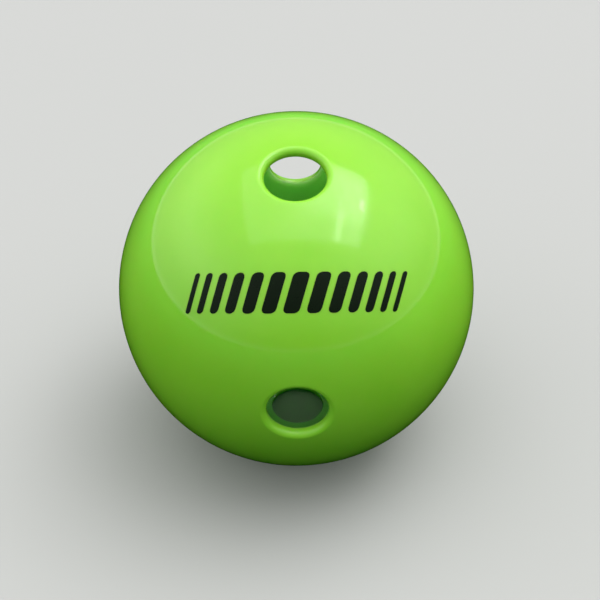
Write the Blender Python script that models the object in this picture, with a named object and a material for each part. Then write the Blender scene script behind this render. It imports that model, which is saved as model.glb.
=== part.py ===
"""Perforated plastic court ball, made of two moulded half shells and the weld bead that joins them.

Units are metres and +Z is up. The origin is on the surface that the ball stands on, straight below
the ball's centre. The ball stands on the rim of its bottom hole.

The two half shells meet at a lap joint on a great circle. The joint's axis leans forward from the
vertical, so each half shell holds complete holes and the joint crosses none of them.
"""

import math

import bmesh
import bpy
from mathutils import Matrix, Vector

# Ball
BALL_RADIUS = 0.0370
WALL = 0.0020
INNER_RADIUS = BALL_RADIUS - WALL

# Holes. A hole in the middle plane is placed by its angle in degrees, from the front (-Y) over the top.
HOLE_RADIUS = 0.00585
HOLE_FILLET = 0.0011
FILLET_SINK = 0.00005
MIDDLE_HOLES = {"front": 0.0, "top": 75.0, "back": 165.0, "bottom": 270.0}
SIDE_HOLE_TILT = 18.0

# Lap joint. Heights are measured along the joint's axis, from the great circle towards the front.
JOINT_ELEVATION = 39.5
GAP = 0.0003
JOINT_WALL = 0.0025
JOINT_BAND = 0.0024
SPIGOT_LENGTH = 0.0015
SPIGOT_CHAMFER = 0.0002
LIP = (JOINT_WALL - GAP) / 2

# Weld bead, a ring of half-elliptical section on the inner wall
BEAD_DEPTH = 0.0006
BEAD_WIDTH = 0.0015
BEAD_STEPS = 7

# Facets
TURN_STEPS = 56
OUTER_STEPS = 14
INNER_STEPS = 11
HOLE_STEPS = 32
FILLET_STEPS = 4

SHELL_COLOUR = (0.27, 0.72, 0.04, 1.0)
BEAD_COLOUR = (0.33, 0.76, 0.08, 1.0)

# The ball rests where the bottom hole's fillet meets the outer sphere.
FILLET_CENTRE = HOLE_RADIUS + HOLE_FILLET
FILLET_HEIGHT = math.sqrt((BALL_RADIUS - HOLE_FILLET) ** 2 - FILLET_CENTRE ** 2) - FILLET_SINK
CENTRE_HEIGHT = math.sqrt(BALL_RADIUS ** 2 - FILLET_CENTRE ** 2)


def clear_scene():
    """Take every object out of the scene."""
    for item in list(bpy.data.objects):
        bpy.data.objects.remove(item, do_unlink=True)


def plastic(name, colour, roughness):
    """A moulded plastic with the given colour."""
    material = bpy.data.materials.new(name)
    material.use_nodes = True
    shader = material.node_tree.nodes["Principled BSDF"]
    shader.inputs["Base Color"].default_value = colour
    shader.inputs["Roughness"].default_value = roughness
    shader.inputs["Metallic"].default_value = 0.0
    material.diffuse_color = colour
    return material


def arc(radius, centre, start, stop, steps):
    """Points on an arc in the outline plane, as (distance from the axis, height)."""
    points = []
    for step in range(steps + 1):
        angle = start + (stop - start) * step / steps
        points.append((centre[0] + radius * math.cos(angle), centre[1] + radius * math.sin(angle)))
    return points


def turned(name, outline, steps, closed=True):
    """Turn an outline about the Z axis into a closed solid."""
    mesh = bpy.data.meshes.new(name)
    shape = bmesh.new()
    corners = [shape.verts.new((radius, 0.0, height)) for radius, height in outline]
    edges = [shape.edges.new(pair) for pair in zip(corners, corners[1:])]
    if closed:
        edges.append(shape.edges.new((corners[-1], corners[0])))
    bmesh.ops.spin(
        shape,
        geom=corners + edges,
        cent=(0, 0, 0),
        axis=(0, 0, 1),
        angle=2 * math.pi,
        steps=steps,
        use_merge=True,
    )
    bmesh.ops.remove_doubles(shape, verts=shape.verts, dist=1e-7)
    bmesh.ops.recalc_face_normals(shape, faces=shape.faces)
    shape.to_mesh(mesh)
    shape.free()
    solid = bpy.data.objects.new(name, mesh)
    bpy.context.collection.objects.link(solid)
    return solid


def inner_wall(side):
    """Inner outline of a half shell from the joint band to the pole; side is 1 in front, -1 behind."""
    band_radius = BALL_RADIUS - JOINT_WALL
    ramp_height = JOINT_BAND + INNER_RADIUS - band_radius
    start = math.asin(ramp_height / INNER_RADIUS)
    curve = arc(INNER_RADIUS, (0.0, 0.0), start, math.pi / 2, INNER_STEPS)
    curve[-1] = (0.0, INNER_RADIUS)
    return [(band_radius, side * JOINT_BAND)] + [(radius, side * height) for radius, height in curve]


def outer_wall(side):
    """Outer outline of a half shell from the pole to the joint."""
    stop = math.asin(GAP / 2 / BALL_RADIUS)
    curve = arc(BALL_RADIUS, (0.0, 0.0), math.pi / 2, stop, OUTER_STEPS)
    curve[0] = (0.0, BALL_RADIUS)
    return [(radius, side * height) for radius, height in curve]


def front_half_outline():
    """The front half carries the spigot, the inner lip of the lap joint."""
    spigot_outside = BALL_RADIUS - LIP - GAP
    spigot_inside = BALL_RADIUS - JOINT_WALL
    joint = [
        (spigot_outside, GAP / 2),
        (spigot_outside, SPIGOT_CHAMFER - SPIGOT_LENGTH),
        (spigot_outside - SPIGOT_CHAMFER, -SPIGOT_LENGTH),
        (spigot_inside, -SPIGOT_LENGTH),
    ]
    return outer_wall(1) + joint + inner_wall(1)


def rear_half_outline():
    """The rear half carries the outer lip and the ledge that faces the spigot's end."""
    ledge_height = -SPIGOT_LENGTH - GAP
    joint = [
        (BALL_RADIUS - LIP, -GAP / 2),
        (BALL_RADIUS - LIP, ledge_height),
        (BALL_RADIUS - JOINT_WALL, ledge_height),
    ]
    return outer_wall(-1) + joint + inner_wall(-1)


def bead_outline():
    """A half ellipse that bulges towards the ball's centre, over the inner end of the joint."""
    seat = BALL_RADIUS - JOINT_WALL - GAP
    middle = -SPIGOT_LENGTH - GAP / 2
    outline = []
    for step in range(BEAD_STEPS + 1):
        angle = math.pi * step / BEAD_STEPS
        outline.append((seat - BEAD_DEPTH * math.sin(angle), middle + BEAD_WIDTH / 2 * math.cos(angle)))
    return outline


def hole_outline():
    """The space that a hole takes: a straight bore that flares out with the fillet's radius."""
    low = INNER_RADIUS * 0.8
    high = BALL_RADIUS * 1.1
    flare = arc(HOLE_FILLET, (FILLET_CENTRE, FILLET_HEIGHT), math.pi, math.pi / 2, FILLET_STEPS)
    return [(0.0, low), (HOLE_RADIUS, low)] + flare + [(FILLET_CENTRE, high), (0.0, high)]


def middle_hole_axis(angle):
    """Direction of a hole in the middle plane, in the joint's own frame."""
    lean = math.radians(angle - JOINT_ELEVATION)
    return Vector((0.0, math.sin(lean), math.cos(lean)))


def side_hole_axis(side):
    """Direction of a side hole, tilted behind the joint; side is 1 for +X and -1 for -X."""
    tilt = math.radians(SIDE_HOLE_TILT)
    return Vector((side * math.cos(tilt), 0.0, -math.sin(tilt)))


def cut_hole(shell, name, axis, frame):
    """Cut one hole through a half shell, along an axis from the ball's centre."""
    cutter = turned(name + "_hole_cutter", hole_outline(), HOLE_STEPS)
    cutter.parent = frame
    cutter.rotation_euler = axis.to_track_quat("Z", "Y").to_euler()
    cutter.hide_render = True
    cutter.display_type = "WIRE"
    boolean = shell.modifiers.new(name + "_hole", "BOOLEAN")
    boolean.operation = "DIFFERENCE"
    boolean.solver = "EXACT"
    boolean.object = cutter


def finish(item, material, frame):
    """Give a piece its material, its smooth shading and its place in the ball."""
    item.data.materials.append(material)
    item.data.shade_smooth()
    item.data.set_sharp_from_angle(angle=math.radians(35))
    item.parent = frame


def build():
    """Make the ball's frame and its pieces."""
    clear_scene()
    frame = bpy.data.objects.new("ball_frame", None)
    bpy.context.collection.objects.link(frame)
    frame.matrix_world = Matrix.Translation((0.0, 0.0, CENTRE_HEIGHT)) @ Matrix.Rotation(
        math.radians(90.0 - JOINT_ELEVATION), 4, "X"
    )

    front = turned("front_half_shell", front_half_outline(), TURN_STEPS, closed=False)
    finish(front, plastic("front_shell_plastic", SHELL_COLOUR, 0.14), frame)
    for name in ("front", "top"):
        cut_hole(front, name, middle_hole_axis(MIDDLE_HOLES[name]), frame)

    rear = turned("rear_half_shell", rear_half_outline(), TURN_STEPS, closed=False)
    finish(rear, plastic("rear_shell_plastic", SHELL_COLOUR, 0.14), frame)
    for name in ("back", "bottom"):
        cut_hole(rear, name, middle_hole_axis(MIDDLE_HOLES[name]), frame)
    for name, side in (("right", 1), ("left", -1)):
        cut_hole(rear, name, side_hole_axis(side), frame)

    bead = turned("weld_bead", bead_outline(), TURN_STEPS)
    finish(bead, plastic("weld_bead_plastic", BEAD_COLOUR, 0.35), frame)


build()
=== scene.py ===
import math

import bmesh
import bpy
import numpy as np
from mathutils import Matrix, Vector
from mathutils.geometry import delaunay_2d_cdt


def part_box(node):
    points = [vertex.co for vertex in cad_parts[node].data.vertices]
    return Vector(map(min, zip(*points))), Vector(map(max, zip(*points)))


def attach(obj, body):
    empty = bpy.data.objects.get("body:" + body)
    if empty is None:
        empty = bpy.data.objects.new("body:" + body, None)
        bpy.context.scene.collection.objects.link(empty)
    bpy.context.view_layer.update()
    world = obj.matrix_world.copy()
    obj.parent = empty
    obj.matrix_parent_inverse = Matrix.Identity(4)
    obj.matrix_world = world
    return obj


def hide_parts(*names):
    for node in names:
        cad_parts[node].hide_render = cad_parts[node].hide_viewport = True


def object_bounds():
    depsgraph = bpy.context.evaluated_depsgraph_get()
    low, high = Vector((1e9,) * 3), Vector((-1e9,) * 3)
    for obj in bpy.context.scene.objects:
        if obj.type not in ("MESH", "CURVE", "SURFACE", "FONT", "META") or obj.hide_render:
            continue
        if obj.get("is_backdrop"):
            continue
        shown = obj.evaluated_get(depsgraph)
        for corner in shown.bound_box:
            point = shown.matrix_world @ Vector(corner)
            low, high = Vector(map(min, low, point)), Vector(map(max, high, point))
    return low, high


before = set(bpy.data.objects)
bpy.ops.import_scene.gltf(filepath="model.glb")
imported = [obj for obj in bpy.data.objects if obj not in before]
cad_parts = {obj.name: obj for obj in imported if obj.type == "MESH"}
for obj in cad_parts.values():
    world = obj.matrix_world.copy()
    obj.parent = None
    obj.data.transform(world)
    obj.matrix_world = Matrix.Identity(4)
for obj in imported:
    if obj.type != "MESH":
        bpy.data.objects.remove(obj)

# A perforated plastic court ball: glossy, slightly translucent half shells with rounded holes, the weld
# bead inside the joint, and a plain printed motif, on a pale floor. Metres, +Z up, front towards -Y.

CAD_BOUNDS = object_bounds()

# Ball. The radius comes from the frame; the rest repeats the CAD part's driving dimensions.
SHELL_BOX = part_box("front_half_shell")
BALL_RADIUS = (SHELL_BOX[1][0] - SHELL_BOX[0][0]) / 2
WALL = 0.0020
INNER_RADIUS = BALL_RADIUS - WALL

# Holes. Middle holes are placed by their angle in degrees, from the front (-Y) over the top.
HOLE_RADIUS = 0.00585
HOLE_FILLET = 0.0011
HOLE_INNER_FILLET = 0.0003
MIDDLE_HOLES = {"front": 0.0, "top": 75.0, "back": 165.0, "bottom": 270.0}
SIDE_HOLE_TILT = 18.0
PATCH_ANGLE = math.radians(12.8)
INNER_PATCH_ANGLE = math.radians(11.8)

# Lap joint between the halves. Heights run along the joint's axis, from the great circle to the front.
JOINT_ELEVATION = 39.5
JOINT_WALL = 0.0025
JOINT_BAND = 0.0024
SPIGOT_LENGTH = 0.0015
JOINT_SLIT = 0.00002
SEAM_ROUNDING = 0.00012
CORNER = 0.0001

# Weld bead on the inner wall. Its swell adds waves round the ball: count, share of its size and phase.
BEAD_DEPTH = 0.0006
BEAD_WIDTH = 0.0015
BEAD_EMBED = 0.00006
BEAD_SWELL = ((5, 0.07, 0.4), (13, 0.05, 0.0), (31, 0.03, 1.1))
BEAD_EDGE_ANGLE = math.radians(50)

# Mesh density: points round a ring, steps across the bead's section, and the spread points' spacing.
# Spread points keep a share of their spacing clear of the rings, and the seam has a ring at its border.
HOLE_COUNT = 96
SEAM_COUNT = 288
BEAD_COUNT = 360
BEAD_STEPS = 12
OUTER_SPACING = 0.0010
INNER_SPACING = 0.0016
SPACING_MARGIN = 0.55
SEAM_BORDER = 0.0009

FILLET_CENTRE = HOLE_RADIUS + HOLE_FILLET
CENTRE = Vector((0.0, 0.0, math.sqrt(BALL_RADIUS ** 2 - FILLET_CENTRE ** 2)))
TURN = Matrix.Rotation(math.radians(90.0 - JOINT_ELEVATION), 3, "X")
JOINT_AXIS = TURN @ Vector((0.0, 0.0, 1.0))
RING_AXES = (np.array((1.0, 0.0, 0.0)), np.array((0.0, 1.0, 0.0)), np.array((0.0, 0.0, 1.0)))


def to_world(points):
    """Joint-frame points, relative to the ball's centre, as world points."""
    return np.asarray(points) @ np.array(TURN).T + np.array(CENTRE)


def hole_axes_of(direction):
    """Three unit vectors across, across and along a hole."""
    along = Vector(direction).normalized()
    across = along.orthogonal().normalized()
    return np.array(across), np.array(along.cross(across)), np.array(along)


def middle_hole(name):
    """Axes of a hole in the middle plane, in the joint's frame."""
    lean = math.radians(MIDDLE_HOLES[name] - JOINT_ELEVATION)
    return hole_axes_of((0.0, math.sin(lean), math.cos(lean)))


def side_hole(side):
    """Axes of a side hole, in the joint's frame; side is 1 for +X and -1 for -X."""
    tilt = math.radians(SIDE_HOLE_TILT)
    return hole_axes_of((side * math.cos(tilt), 0.0, -math.sin(tilt)))


# ---------------------------------------------------------------- surfaces

def arc(centre, radius, start, stop, steps, facing=1):
    """Stations on an arc: (distance from the axis, height, and the normal's two parts)."""
    stations = []
    for angle in np.linspace(start, stop, steps + 1):
        out, up = math.cos(angle), math.sin(angle)
        stations.append((centre[0] + radius * out, centre[1] + radius * up, facing * out, facing * up))
    return stations


def cornered(points, size):
    """Stations along straight runs, with the corners between them cut off. Normals face left of it."""
    stations = []
    for first, last in zip(points, points[1:]):
        run = np.subtract(last, first)
        length = np.linalg.norm(run)
        run = run / length
        trim = min(size, length / 3)
        normal = (-run[1], run[0])
        for place in (np.add(first, run * trim), np.subtract(last, run * trim)):
            stations.append((place[0], place[1], *normal))
    return stations


class Skin:
    """The closed surface of one piece: its points, their normals and its faces."""

    def __init__(self):
        self.points = []
        self.normals = []
        self.faces = []

    def add(self, points, normals):
        first = len(self.points)
        self.points.extend(points)
        self.normals.extend(normals)
        return list(range(first, len(self.points)))

    def ring(self, axes, station, count):
        """One ring of points about an axis."""
        across, up, along = axes
        out, height, normal_out, normal_up = station
        turns = np.arange(count) * 2 * math.pi / count
        spokes = np.outer(np.cos(turns), across) + np.outer(np.sin(turns), up)
        return self.add(spokes * out + along * height, spokes * normal_out + along * normal_up)

    def loft(self, axes, stations, count):
        """Rings at every station, joined by faces. Returns the first and the last ring."""
        rings = [self.ring(axes, station, count) for station in stations]
        for one, other in zip(rings, rings[1:]):
            for k in range(count):
                after = (k + 1) % count
                self.faces.append((one[k], one[after], other[after], other[k]))
        return rings[0], rings[-1]

    def cover(self, side, radius, rim, rings, holes, patch_angle, spacing, facing):
        """Cover a half sphere between its rim and the rings round its holes with even triangles.

        A triangle whose corners all lie on one hole's ring would close that hole, so it is left out.
        """
        fill = spread_points(side, radius, self.points[rim[0]][2], holes, patch_angle, spacing)
        extra = self.add(fill * radius, fill * facing)
        members = rim + [index for ring in rings for index in ring] + extra
        owner = {index: number for number, ring in enumerate(rings) for index in ring}
        places = np.array([self.points[index] for index in members]) / radius
        flat = places[:, :2] / (1.0 + side * places[:, 2:3])
        flat_points = [Vector((float(x), float(y))) for x, y in flat]
        made = delaunay_2d_cdt(flat_points, [], [], 0, 1e-9)
        source = [origin[0] for origin in made[3]]
        for face in made[2]:
            corners = [members[source[corner]] for corner in face]
            owners = {owner.get(corner) for corner in corners}
            if None in owners or len(owners) > 1:
                self.faces.append(tuple(corners))

    def piece(self, name, material):
        """The surface as an object, with its own normals so that its gloss is exact."""
        mesh = smooth_mesh(name, self.points, self.faces)
        normals = np.array(self.normals) @ np.array(TURN).T
        mesh.normals_split_custom_set_from_vertices(normals.tolist())
        return show(name, mesh, material)


def smooth_mesh(name, points, faces):
    """A smooth closed mesh from joint-frame points, with its faces turned outwards."""
    mesh = bpy.data.meshes.new(name)
    mesh.from_pydata(to_world(points).tolist(), [], faces)
    shape = bmesh.new()
    shape.from_mesh(mesh)
    bmesh.ops.recalc_face_normals(shape, faces=shape.faces)
    shape.to_mesh(mesh)
    shape.free()
    mesh.shade_smooth()
    return mesh


def show(name, mesh, material):
    """Link a mesh to the scene as an object with one material."""
    item = bpy.data.objects.new(name, mesh)
    bpy.context.collection.objects.link(item)
    mesh.materials.append(material)
    return item


def spread_points(side, radius, rim_height, holes, patch_angle, spacing):
    """Evenly spread directions on a half sphere, clear of its rim and of its holes."""
    # Each point of an even triangle lattice takes up the area of two triangles.
    count = int(4 * math.pi * radius ** 2 / (0.866 * spacing ** 2))
    steps = np.arange(count) + 0.5
    height = 1.0 - 2.0 * steps / count
    turn = steps * math.pi * (3.0 - math.sqrt(5.0))
    width = np.sqrt(1.0 - height ** 2)
    points = np.stack([width * np.cos(turn), width * np.sin(turn), height], axis=1)
    margin = SPACING_MARGIN * spacing / radius
    keep = side * points[:, 2] > side * rim_height / radius + margin
    for axes in holes:
        keep &= points @ axes[2] < math.cos(patch_angle + margin)
    return points[keep]


def hole_stations():
    """Stations from the sphere round a hole, over its rounded rim and down its bore, to the inner wall."""
    height = math.sqrt((BALL_RADIUS - HOLE_FILLET) ** 2 - FILLET_CENTRE ** 2)
    lean = math.atan2(height, FILLET_CENTRE)
    inner_centre = HOLE_RADIUS + HOLE_INNER_FILLET
    inner_height = math.sqrt((INNER_RADIUS + HOLE_INNER_FILLET) ** 2 - inner_centre ** 2)
    inner_lean = math.atan2(inner_height, inner_centre)
    stations = arc((0, 0), BALL_RADIUS, math.pi / 2 - PATCH_ANGLE, lean, 4)
    stations += arc((FILLET_CENTRE, height), HOLE_FILLET, lean, math.pi, 10)[1:]
    bore = np.linspace(height, inner_height, 4)[1:-1]
    stations += [(HOLE_RADIUS, level, -1.0, 0.0) for level in bore]
    stations += arc((inner_centre, inner_height), HOLE_INNER_FILLET, math.pi, math.pi + inner_lean, 6)
    stations += arc((0, 0), INNER_RADIUS, inner_lean, math.pi / 2 - INNER_PATCH_ANGLE, 3, facing=-1)[1:]
    return stations


def seam_stations(side):
    """Stations from the outer sphere, round the seam's edge and along the lap joint, to the inside."""
    rim_angle = math.asin(SEAM_BORDER / BALL_RADIUS)
    edge_height = JOINT_SLIT / 2 + SEAM_ROUNDING
    edge_radius = math.sqrt((BALL_RADIUS - SEAM_ROUNDING) ** 2 - edge_height ** 2)
    edge_lean = math.atan2(edge_height, edge_radius)
    stations = arc((0, 0), BALL_RADIUS, rim_angle, edge_lean, 2)
    stations += arc((edge_radius, edge_height), SEAM_ROUNDING, edge_lean, -math.pi / 2, 6)[1:]
    band = BALL_RADIUS - JOINT_WALL
    middle = BALL_RADIUS - JOINT_WALL / 2
    ramp_height = JOINT_BAND + INNER_RADIUS - band
    ramp_radius = math.sqrt(INNER_RADIUS ** 2 - ramp_height ** 2)
    step = middle - side * JOINT_SLIT / 2
    ledge = -SPIGOT_LENGTH if side > 0 else SPIGOT_LENGTH + JOINT_SLIT
    joint = [(edge_radius, JOINT_SLIT / 2), (step, JOINT_SLIT / 2), (step, ledge), (band, ledge)]
    joint += [(band, JOINT_BAND), (ramp_radius, ramp_height)]
    stations += cornered(joint, CORNER)
    start = math.atan2(ramp_height, ramp_radius)
    stations += arc((0, 0), INNER_RADIUS, start, start + math.radians(0.8), 1, facing=-1)
    return [(out, side * up, normal_out, side * normal_up) for out, up, normal_out, normal_up in stations]


def half_shell(name, side, holes, material):
    """One half of the ball: side is 1 in front of the joint and -1 behind it."""
    skin = Skin()
    outer_rim, inner_rim = skin.loft(RING_AXES, seam_stations(side), SEAM_COUNT)
    patches = [skin.loft(axes, hole_stations(), HOLE_COUNT) for axes in holes]
    outer_rings = [outer for outer, _ in patches]
    inner_rings = [inner for _, inner in patches]
    skin.cover(side, BALL_RADIUS, outer_rim, outer_rings, holes, PATCH_ANGLE, OUTER_SPACING, 1)
    skin.cover(side, INNER_RADIUS, inner_rim, inner_rings, holes, INNER_PATCH_ANGLE, INNER_SPACING, -1)
    return skin.piece(name, material)


def weld_bead(material):
    """The ring of resolidified plastic over the inner end of the joint, a little uneven round the ball."""
    seat = BALL_RADIUS - JOINT_WALL + BEAD_EMBED
    middle = -SPIGOT_LENGTH - JOINT_SLIT / 2
    points, faces = [], []
    for k in range(BEAD_COUNT):
        turn = 2 * math.pi * k / BEAD_COUNT
        swell = 1 + sum(share * math.sin(waves * turn + phase) for waves, share, phase in BEAD_SWELL)
        for step in range(BEAD_STEPS + 1):
            angle = math.pi * step / BEAD_STEPS
            out = seat - (BEAD_DEPTH * swell + BEAD_EMBED) * math.sin(angle)
            up = middle + BEAD_WIDTH / 2 * swell * math.cos(angle)
            points.append((out * math.cos(turn), out * math.sin(turn), up))
    row = BEAD_STEPS + 1
    for k in range(BEAD_COUNT):
        here, there = k * row, (k + 1) % BEAD_COUNT * row
        for step in range(row):
            after = (step + 1) % row
            faces.append((here + step, here + after, there + after, there + step))
    mesh = smooth_mesh("weld_bead_ring", points, faces)
    mesh.set_sharp_from_angle(angle=BEAD_EDGE_ANGLE)
    return show("weld_bead_ring", mesh, material)


# ---------------------------------------------------------------- printed motif

# The motif's size, its distance below the front's middle, its bars' widths as shares, their mesh density,
# and how far the ink's film stands out of the ball and reaches into it
MOTIF_WIDTH = 0.0410
MOTIF_HEIGHT = 0.0074
MOTIF_DROP = 0.0007
MOTIF_SLANT = 0.30
MOTIF_GAP = 0.00125
MOTIF_SHARES = (1.0, 1.3, 1.7, 2.1, 2.5, 2.9, 3.3, 2.9, 2.5, 2.1, 1.7, 1.3, 1.0)
MOTIF_CORNER = 0.0009
MOTIF_COLUMN = 0.0003
MOTIF_MIN_COLUMNS = 6
MOTIF_ROWS = 24
INK_PROUD = 0.00002
INK_SUNK = 0.00004


def on_ball(across, up, radius):
    """A point of flat artwork pressed straight onto the front of the ball."""
    return (across, up, math.sqrt(radius ** 2 - across ** 2 - up ** 2))


def motif_bars():
    """Left edges and widths of the motif's bars, broad in the middle and thin at the ends."""
    ink = MOTIF_WIDTH - MOTIF_SLANT * MOTIF_HEIGHT - MOTIF_GAP * (len(MOTIF_SHARES) - 1)
    left = -MOTIF_WIDTH / 2 + MOTIF_SLANT * MOTIF_HEIGHT / 2
    for share in MOTIF_SHARES:
        width = ink * share / sum(MOTIF_SHARES)
        yield left, width
        left += width + MOTIF_GAP


def ink_bar(skin, left, width):
    """One slanted bar with rounded corners, as a thin closed plate that follows the ball."""
    corner = min(MOTIF_CORNER, width / 2.001)
    columns = max(MOTIF_MIN_COLUMNS, int(width / MOTIF_COLUMN))
    rows = MOTIF_ROWS
    levels = []
    for radius, facing in ((BALL_RADIUS + INK_PROUD, 1), (BALL_RADIUS - INK_SUNK, -1)):
        grid = []
        for i in range(columns + 1):
            place = width * (0.5 - 0.5 * math.cos(math.pi * i / columns))
            reach = corner - min(place, width - place, corner)
            cut = corner - math.sqrt(max(corner ** 2 - reach ** 2, 0.0))
            line = []
            for j in range(rows + 1):
                up = -MOTIF_HEIGHT / 2 + cut + (MOTIF_HEIGHT - 2 * cut) * j / rows
                point = np.array(on_ball(left + place + MOTIF_SLANT * up, up - MOTIF_DROP, radius))
                line += skin.add([point], [facing * point / radius])
            grid.append(line)
        for i in range(columns):
            for j in range(rows):
                skin.faces.append((grid[i][j], grid[i + 1][j], grid[i + 1][j + 1], grid[i][j + 1]))
        levels.append(grid)
    top, bottom = levels
    edge = [(i, 0) for i in range(columns + 1)] + [(columns, j) for j in range(1, rows + 1)]
    edge += [(i, rows) for i in range(columns - 1, -1, -1)] + [(0, j) for j in range(rows - 1, 0, -1)]
    for (i, j), (k, m) in zip(edge, edge[1:] + edge[:1]):
        skin.faces.append((top[i][j], top[k][m], bottom[k][m], bottom[i][j]))


def printed_motif(material):
    """A row of slanted bars in black ink, where the ball carries its print."""
    skin = Skin()
    for left, width in motif_bars():
        ink_bar(skin, left, width)
    return skin.piece("printed_motif", material)


# ---------------------------------------------------------------- materials

# Shell plastic: two outer colours, and one for the inner wall that is the plastic made paler and brighter
# as painted light for the light shining into the ball, a roughness range, how deep light scatters outside
# and inside, and how far past the inner wall the inner look starts and stops
SHELL_COLOURS = ((0.268, 0.630, 0.034), (0.292, 0.660, 0.043))
INNER_PAINTED_LIGHT_COLOUR = (0.45, 0.96, 0.27)
SHELL_ROUGHNESS = (0.055, 0.090)
SHELL_IOR = 1.49
SHELL_SCATTER = (0.8, 1.0, 0.8)
OUTER_DEPTH = 0.0013
INNER_DEPTH = 0.0064
INNER_START = 0.00003
INNER_STOP = 0.00025
WAVE_HEIGHT = 0.00012
GRAIN_HEIGHT = 0.0000012

# Weld plastic, ink and floor paint: two colours each, and a roughness range or value
WELD_COLOURS = ((0.27, 0.76, 0.05), (0.34, 0.82, 0.09))
WELD_ROUGHNESS = (0.28, 0.45)
WELD_SCATTER = (0.35, 1.0, 0.10)
WELD_DEPTH = 0.0015
WELD_RIPPLE = 0.00008
INK_COLOURS = ((0.0012, 0.0065, 0.0008), (0.003, 0.014, 0.002))
INK_ROUGHNESS = (0.25, 0.38)
INK_SHINE = 0.12
INK_GRAIN = 0.000006
FLOOR_COLOURS = ((0.42, 0.425, 0.415), (0.44, 0.445, 0.435))
FLOOR_ROUGHNESS = 0.75


def graph(name):
    """A new material, its node tree and its Principled node."""
    material = bpy.data.materials.new(name)
    material.use_nodes = True
    tree = material.node_tree
    return material, tree, tree.nodes["Principled BSDF"]


def noise(tree, scale, detail, roughness=0.5):
    """Noise over the object's own space, as the node's value output."""
    where = tree.nodes.new("ShaderNodeTexCoord")
    grain = tree.nodes.new("ShaderNodeTexNoise")
    grain.inputs["Scale"].default_value = scale
    grain.inputs["Detail"].default_value = detail
    grain.inputs["Roughness"].default_value = roughness
    tree.links.new(where.outputs["Object"], grain.inputs["Vector"])
    return grain.outputs["Fac"]


def spread(tree, value, low, high, start=0.35, stop=0.65):
    """Map a value from start..stop to low..high."""
    node = tree.nodes.new("ShaderNodeMapRange")
    node.inputs["From Min"].default_value = start
    node.inputs["From Max"].default_value = stop
    node.inputs["To Min"].default_value = low
    node.inputs["To Max"].default_value = high
    tree.links.new(value, node.inputs["Value"])
    return node.outputs["Result"]


def blend_colours(tree, value, low, high):
    """A colour between low and high."""
    node = tree.nodes.new("ShaderNodeMix")
    node.data_type = "RGBA"
    node.inputs["A"].default_value = (*low, 1.0)
    node.inputs["B"].default_value = (*high, 1.0)
    tree.links.new(value, node.inputs["Factor"])
    return node.outputs["Result"]


def bump(tree, height, distance, before=None):
    """A bump of the given depth in metres, on top of an earlier one."""
    node = tree.nodes.new("ShaderNodeBump")
    node.inputs["Distance"].default_value = distance
    tree.links.new(height, node.inputs["Height"])
    if before is not None:
        tree.links.new(before, node.inputs["Normal"])
    return node.outputs["Normal"]


def inner_mask(tree):
    """1 on the ball's inner wall and 0 on its outside, rising through the wall's thickness. It places the
    inner wall's painted-light colour and its deeper scattering.
    """
    where = tree.nodes.new("ShaderNodeTexCoord")
    reach = tree.nodes.new("ShaderNodeVectorMath")
    reach.operation = "DISTANCE"
    reach.inputs[1].default_value = CENTRE
    tree.links.new(where.outputs["Object"], reach.inputs[0])
    start, stop = INNER_RADIUS + INNER_START, INNER_RADIUS + INNER_STOP
    return spread(tree, reach.outputs["Value"], 1.0, 0.0, start, stop)


def shell_plastic(name):
    """Glossy lime plastic that lets some light through, with flow marks, a slightly wavy skin and an inner
    wall painted paler and brighter as painted light.
    """
    material, tree, shader = graph(name)
    cloud = spread(tree, noise(tree, 45.0, 3.0), 0.0, 1.0)
    colour = blend_colours(tree, cloud, *SHELL_COLOURS)
    blend = tree.nodes.new("ShaderNodeMix")
    blend.data_type = "RGBA"
    # The inner wall takes the paler, brighter colour: painted light standing in for light shining into the
    # ball.
    blend.inputs["B"].default_value = (*INNER_PAINTED_LIGHT_COLOUR, 1.0)
    mask = inner_mask(tree)
    tree.links.new(mask, blend.inputs["Factor"])
    tree.links.new(colour, blend.inputs["A"])
    tree.links.new(blend.outputs["Result"], shader.inputs["Base Color"])
    rough = spread(tree, noise(tree, 260.0, 4.0, 0.65), *SHELL_ROUGHNESS)
    tree.links.new(rough, shader.inputs["Roughness"])
    shader.inputs["IOR"].default_value = SHELL_IOR
    shader.inputs["Subsurface Weight"].default_value = 1.0
    shader.inputs["Subsurface Radius"].default_value = SHELL_SCATTER
    depth = spread(tree, mask, OUTER_DEPTH, INNER_DEPTH, 0.0, 1.0)
    tree.links.new(depth, shader.inputs["Subsurface Scale"])
    wave = bump(tree, noise(tree, 42.0, 1.0), WAVE_HEIGHT)
    skin = bump(tree, noise(tree, 900.0, 2.0), GRAIN_HEIGHT, wave)
    tree.links.new(skin, shader.inputs["Normal"])
    return material


def weld_plastic():
    """The same plastic after melting: duller and rippled."""
    material, tree, shader = graph("weld_plastic_look")
    cloud = spread(tree, noise(tree, 300.0, 3.0), 0.0, 1.0)
    colour = blend_colours(tree, cloud, *WELD_COLOURS)
    tree.links.new(colour, shader.inputs["Base Color"])
    tree.links.new(spread(tree, noise(tree, 700.0, 3.0), *WELD_ROUGHNESS), shader.inputs["Roughness"])
    shader.inputs["Subsurface Weight"].default_value = 0.8
    shader.inputs["Subsurface Radius"].default_value = WELD_SCATTER
    shader.inputs["Subsurface Scale"].default_value = WELD_DEPTH
    tree.links.new(bump(tree, noise(tree, 900.0, 3.0), WELD_RIPPLE), shader.inputs["Normal"])
    return material


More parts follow.
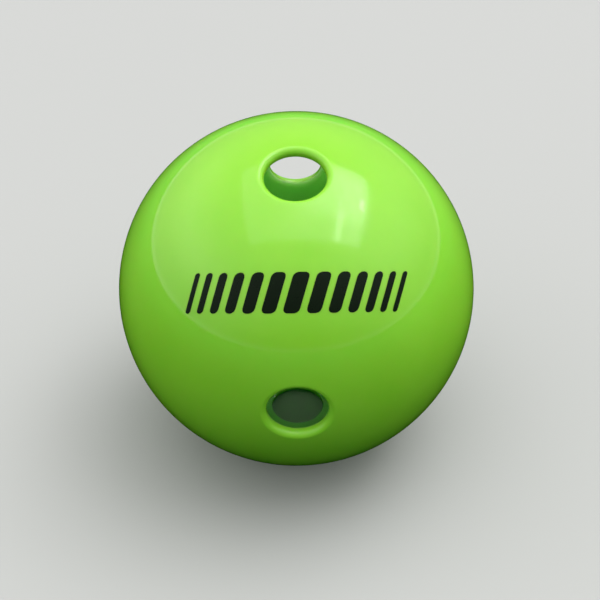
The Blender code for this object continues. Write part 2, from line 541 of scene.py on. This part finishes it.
def print_ink():
    """Black pad-printing ink with small thin spots."""
    material, tree, shader = graph("print_ink_look")
    thin = spread(tree, noise(tree, 1600.0, 3.0, 0.7), 0.0, 1.0, 0.60, 0.80)
    colour = blend_colours(tree, thin, *INK_COLOURS)
    tree.links.new(colour, shader.inputs["Base Color"])
    shader.inputs["Specular IOR Level"].default_value = INK_SHINE
    tree.links.new(spread(tree, noise(tree, 500.0, 4.0), *INK_ROUGHNESS), shader.inputs["Roughness"])
    tree.links.new(bump(tree, noise(tree, 1100.0, 3.0), INK_GRAIN), shader.inputs["Normal"])
    return material


def floor_paint():
    """A plain pale floor with a faint mottle."""
    material, tree, shader = graph("floor_look")
    colour = blend_colours(tree, noise(tree, 3.0, 4.0), *FLOOR_COLOURS)
    tree.links.new(colour, shader.inputs["Base Color"])
    shader.inputs["Roughness"].default_value = FLOOR_ROUGHNESS
    return material


# ---------------------------------------------------------------- object

front_holes = [middle_hole("front"), middle_hole("top")]
front = half_shell("front_shell_skin", 1, front_holes, shell_plastic("front_shell_look"))
rear_holes = [middle_hole("back"), middle_hole("bottom"), side_hole(1), side_hole(-1)]
rear = half_shell("rear_shell_skin", -1, rear_holes, shell_plastic("rear_shell_look"))
bead = weld_bead(weld_plastic())
motif = printed_motif(print_ink())

for made, node, finish in (
    (front, "front_half_shell", "shell_plastic"),
    (rear, "rear_half_shell", "shell_plastic"),
    (bead, "weld_bead", "weld_plastic"),
    (motif, None, "print_ink"),
):
    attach(made, "root")
    if node:
        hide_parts(node)


# ---------------------------------------------------------------- stage

# Camera: its lens, its turn about the view and its aim off the ball's centre, in degrees
CAMERA_DISTANCE = 6.3 * BALL_RADIUS
CAMERA_LENS = 66.2
CAMERA_SENSOR = 36.0
CAMERA_ROLL = -0.6
CAMERA_AIM = (-0.59, -0.18)

# Floor: the radius of its flat part, the sweep's radius and steps, the wall's height, and points round it
FLOOR_RADIUS = 1.2
SWEEP = 0.8
SWEEP_STEPS = 24
WALL_TOP = 3.0
FLOOR_COUNT = 160

# Brightness of the studio dome on each side, at a few elevations in degrees. The levels from 10 to 50
# degrees, the ground light and the soft boxes' levels started from a least-squares fit of lights to the
# photo. They were then rounded and changed.
DOME_ELEVATIONS = (0, 10, 28, 50, 75)
DOME_LEVELS = {
    "front": (0.0, 0.1, 0.5, 0.85, 0.9),
    "right": (0.6, 0.7, 1.4, 1.6, 0.85),
    "back": (0.3, 0.4, 0.5, 0.4, 0.85),
    "left": (0.9, 1.0, 1.7, 1.1, 0.85),
}
SIDE_AXES = {"front": ("Y", -1), "right": ("X", 1), "back": ("Y", 1), "left": ("X", -1)}

# A bright band above the horizon that fades out between two heights, and the horizon's own soft edge
HORIZON_LEVEL = 0.4
HORIZON_FADE = (0.02, 0.06)
HORIZON_EDGE = 0.003

# Light from below the horizon, at a few angles below it
GROUND_LIGHT = (
    (0, (0.02, 0.50, 0.16)),
    (5, (0.02, 0.50, 0.16)),
    (16, (0.01, 0.05, 0.05)),
    (32, (0.0, 0.0, 0.0)),
)

# Soft boxes overhead: left, right, front and back edges as slopes from the zenith, soft edge and level
SOFT_BOXES = (
    (-0.55, 0.81, -0.38, 0.75, 0.08, 0.9),
    (-0.10, 0.81, -0.38, 0.75, 0.40, 0.7),
    (0.40, 0.81, -0.38, 0.75, 0.10, 0.9),
    (0.43, 0.50, -0.35, 0.05, 0.03, 2.6),
    (0.10, 0.81, -0.05, 0.60, 0.30, 1.7),
    (0.70, 0.77, 0.14, 0.30, 0.04, 5.0),
)


def floor():
    """A wide plain floor that sweeps up into a wall. It lights nothing, so the ball's underside is dark."""
    profile = [(0.9 * FLOOR_RADIUS, 0.0)]
    for turn in np.linspace(0.0, math.pi / 2, SWEEP_STEPS + 1):
        profile.append((FLOOR_RADIUS + SWEEP * math.sin(turn), SWEEP * (1.0 - math.cos(turn))))
    profile.append((FLOOR_RADIUS + SWEEP, WALL_TOP))
    points, faces = [], [tuple(range(FLOOR_COUNT))]
    for out, up in profile:
        for k in range(FLOOR_COUNT):
            turn = 2 * math.pi * k / FLOOR_COUNT
            points.append((out * math.cos(turn), out * math.sin(turn), up))
    for row in range(len(profile) - 1):
        for k in range(FLOOR_COUNT):
            here, there = row * FLOOR_COUNT + k, row * FLOOR_COUNT + (k + 1) % FLOOR_COUNT
            faces.append((there, here, here + FLOOR_COUNT, there + FLOOR_COUNT))
    mesh = bpy.data.meshes.new("floor")
    mesh.from_pydata(points, [], faces)
    mesh.shade_smooth()
    plane = show("floor", mesh, floor_paint())
    plane.visible_diffuse = False
    plane.visible_glossy = False
    plane.visible_shadow = False
    plane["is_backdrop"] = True


def math_node(tree, operation, *values):
    """One step of arithmetic; a value is a number or another node's output."""
    node = tree.nodes.new("ShaderNodeMath")
    node.operation = operation
    for slot, value in zip(node.inputs, values):
        if isinstance(value, (int, float)):
            slot.default_value = value
        else:
            tree.links.new(value, slot)
    return node.outputs["Value"]


def smooth_step(tree, value, start, stop):
    """0 before start and 1 after stop, with a smooth rise between them."""
    node = tree.nodes.new("ShaderNodeMapRange")
    node.interpolation_type = "SMOOTHSTEP"
    node.inputs["From Min"].default_value = start
    node.inputs["From Max"].default_value = stop
    tree.links.new(value, node.inputs["Value"])
    return node.outputs["Result"]


def inside(tree, value, low, high, soft):
    """1 between low and high, falling smoothly to 0 over a soft edge centred on each."""
    rise = smooth_step(tree, value, low - soft / 2, low + soft / 2)
    fall = smooth_step(tree, value, high - soft / 2, high + soft / 2)
    return math_node(tree, "SUBTRACT", rise, fall)


def elevation_ramp(tree, share, stops):
    """A colour that runs through stops of (degrees, colour), where share is the angle out of 90 degrees."""
    ramp = tree.nodes.new("ShaderNodeValToRGB")
    elements = ramp.color_ramp.elements
    elements[1].position = stops[-1][0] / 90
    for angle, _ in stops[1:-1]:
        elements.new(angle / 90)
    for element, (_, colour) in zip(elements, stops):
        element.color = (*colour, 1.0)
    tree.links.new(share, ramp.inputs["Fac"])
    return ramp.outputs["Color"]


def dome_light(tree, axes, share):
    """The dome's four sides, each weighted by how far it is faced."""
    level_square = math_node(tree, "MULTIPLY", axes["X"], axes["X"])
    level_square = math_node(tree, "MULTIPLY_ADD", axes["Y"], axes["Y"], level_square)
    total = 0.0
    for side, levels in DOME_LEVELS.items():
        axis, sign = SIDE_AXES[side]
        faced = math_node(tree, "MAXIMUM", math_node(tree, "MULTIPLY", axes[axis], sign), 0.0)
        weight = math_node(tree, "DIVIDE", math_node(tree, "MULTIPLY", faced, faced), level_square)
        stops = [(angle, (level, level, level)) for angle, level in zip(DOME_ELEVATIONS, levels)]
        total = math_node(tree, "MULTIPLY_ADD", elevation_ramp(tree, share, stops), weight, total)
    return total


def box_light(tree, axes):
    """The soft boxes overhead."""
    rise = math_node(tree, "MAXIMUM", axes["Z"], 0.001)
    slope_x = math_node(tree, "DIVIDE", axes["X"], rise)
    slope_y = math_node(tree, "DIVIDE", axes["Y"], rise)
    total = 0.0
    for left, right, front_edge, back_edge, soft, level in SOFT_BOXES:
        across = inside(tree, slope_x, left, right, soft)
        along = inside(tree, slope_y, front_edge, back_edge, soft)
        total = math_node(tree, "MULTIPLY_ADD", math_node(tree, "MULTIPLY", across, along), level, total)
    return total


def sky():
    """A plain soft studio dome over a dark greenish ground, with soft boxes overhead."""
    world = bpy.data.worlds.new("studio_dome")
    bpy.context.scene.world = world
    world.use_nodes = True
    tree = world.node_tree
    split = tree.nodes.new("ShaderNodeSeparateXYZ")
    tree.links.new(tree.nodes.new("ShaderNodeTexCoord").outputs["Generated"], split.inputs["Vector"])
    axes = {axis: split.outputs[axis] for axis in "XYZ"}
    share = math_node(tree, "MULTIPLY", math_node(tree, "ARCSINE", axes["Z"]), 2 / math.pi)
    near_horizon = math_node(tree, "SUBTRACT", 1.0, smooth_step(tree, axes["Z"], *HORIZON_FADE))
    light = math_node(tree, "ADD", dome_light(tree, axes, share), box_light(tree, axes))
    light = math_node(tree, "MULTIPLY_ADD", near_horizon, HORIZON_LEVEL, light)
    above = smooth_step(tree, axes["Z"], -HORIZON_EDGE, HORIZON_EDGE)
    light = math_node(tree, "MULTIPLY", light, above)
    ground = elevation_ramp(tree, math_node(tree, "MULTIPLY", share, -1.0), GROUND_LIGHT)
    colour = tree.nodes.new("ShaderNodeMix")
    colour.data_type = "RGBA"
    tree.links.new(above, colour.inputs["Factor"])
    tree.links.new(ground, colour.inputs["A"])
    tree.links.new(light, colour.inputs["B"])
    tree.links.new(colour.outputs["Result"], tree.nodes["Background"].inputs["Color"])


def camera():
    """The camera looks down the joint's axis, with the ball a little above the picture's middle."""
    data = bpy.data.cameras.new("camera")
    data.lens = CAMERA_LENS
    data.sensor_width = CAMERA_SENSOR
    data.clip_start = 0.01
    data.clip_end = 20.0
    eye = bpy.data.objects.new("camera", data)
    bpy.context.collection.objects.link(eye)
    eye.location = CENTRE + JOINT_AXIS * CAMERA_DISTANCE
    aim = JOINT_AXIS.to_track_quat("Z", "Y").to_matrix().to_4x4()
    tip, pan = (math.radians(angle) for angle in CAMERA_AIM)
    nudge = Matrix.Rotation(tip, 4, "X") @ Matrix.Rotation(pan, 4, "Y")
    roll = Matrix.Rotation(math.radians(CAMERA_ROLL), 4, "Z")
    eye.matrix_world = Matrix.Translation(eye.location) @ aim @ nudge @ roll
    bpy.context.scene.camera = eye


bpy.context.scene.view_settings.view_transform = "Standard"
floor()
sky()
camera()

boxes = {"cad": CAD_BOUNDS, "visual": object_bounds()}
{name: [list(corner) for corner in box] for name, box in boxes.items()}
